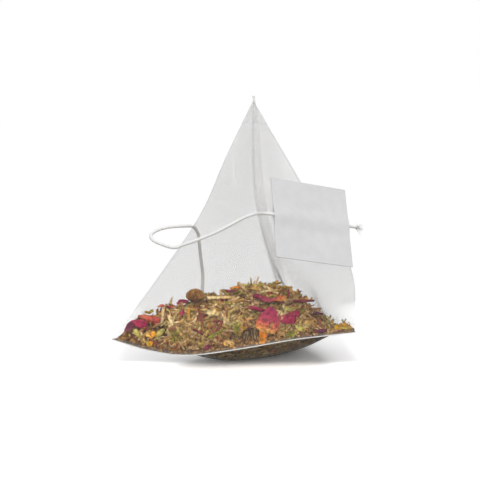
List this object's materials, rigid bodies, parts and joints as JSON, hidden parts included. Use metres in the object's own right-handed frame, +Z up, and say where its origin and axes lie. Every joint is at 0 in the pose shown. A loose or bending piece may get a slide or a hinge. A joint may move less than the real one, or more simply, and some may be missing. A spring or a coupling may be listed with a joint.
{
  "type": "pyramid tea bag",
  "caption": "Pyramid tea bag of translucent nylon mesh, folded and heat sealed into a soft tetrahedron round loose herb tea, with a cotton thread and a plain folded paper tag.",
  "frame": {"origin": "middle of the bag's footprint box, on the table that it stands on, without the thread and tag", "axes": "+Z up; the wall with the woven gaps faces -Y, its long lower seal runs along X, and the tag is at +X"},
  "size_m": [0.059, 0.0554, 0.0674],
  "materials": {
    "mesh": "translucent woven nylon",
    "cotton": "twisted white cotton",
    "paper_tag": "matt pale grey card",
    "herb_leaf": "dried cut leaf",
    "herb_stem": "dried stem",
    "rose_petal": "dried petal",
    "leaf_flake": "dried leaf flake",
    "seed": "dried seed",
    "orange_peel": "dried peel",
    "dried_flower": "dried blossom"
  },
  "bodies": {
    "root": {"mesh_bag": "mesh", "thread": "cotton", "tag": "paper_tag", "tea_leaves": "herb_leaf", "stem_1": "herb_stem", "stem_2": "herb_stem", "stem_3": "herb_stem", "stem_4": "herb_stem", "stem_5": "herb_stem", "stem_6": "herb_stem", "stem_7": "herb_stem", "stem_8": "herb_stem", "stem_9": "herb_stem", "stem_10": "herb_stem", "stem_11": "herb_stem", "stem_12": "herb_stem", "rose_petal_1": "rose_petal", "rose_petal_2": "rose_petal", "rose_petal_3": "rose_petal", "rose_petal_4": "rose_petal", "leaf_flake_1": "leaf_flake", "leaf_flake_2": "leaf_flake", "leaf_flake_3": "leaf_flake", "leaf_flake_4": "leaf_flake", "leaf_flake_5": "leaf_flake", "leaf_flake_6": "leaf_flake", "seed_1": "seed", "seed_2": "seed", "seed_3": "seed", "orange_peel_1": "orange_peel", "orange_peel_2": "orange_peel", "blossom_1": "dried_flower", "blossom_2": "dried_flower", "blossom_3": "dried_flower", "flower_head": "dried_flower"}
  },
  "joints": []
}
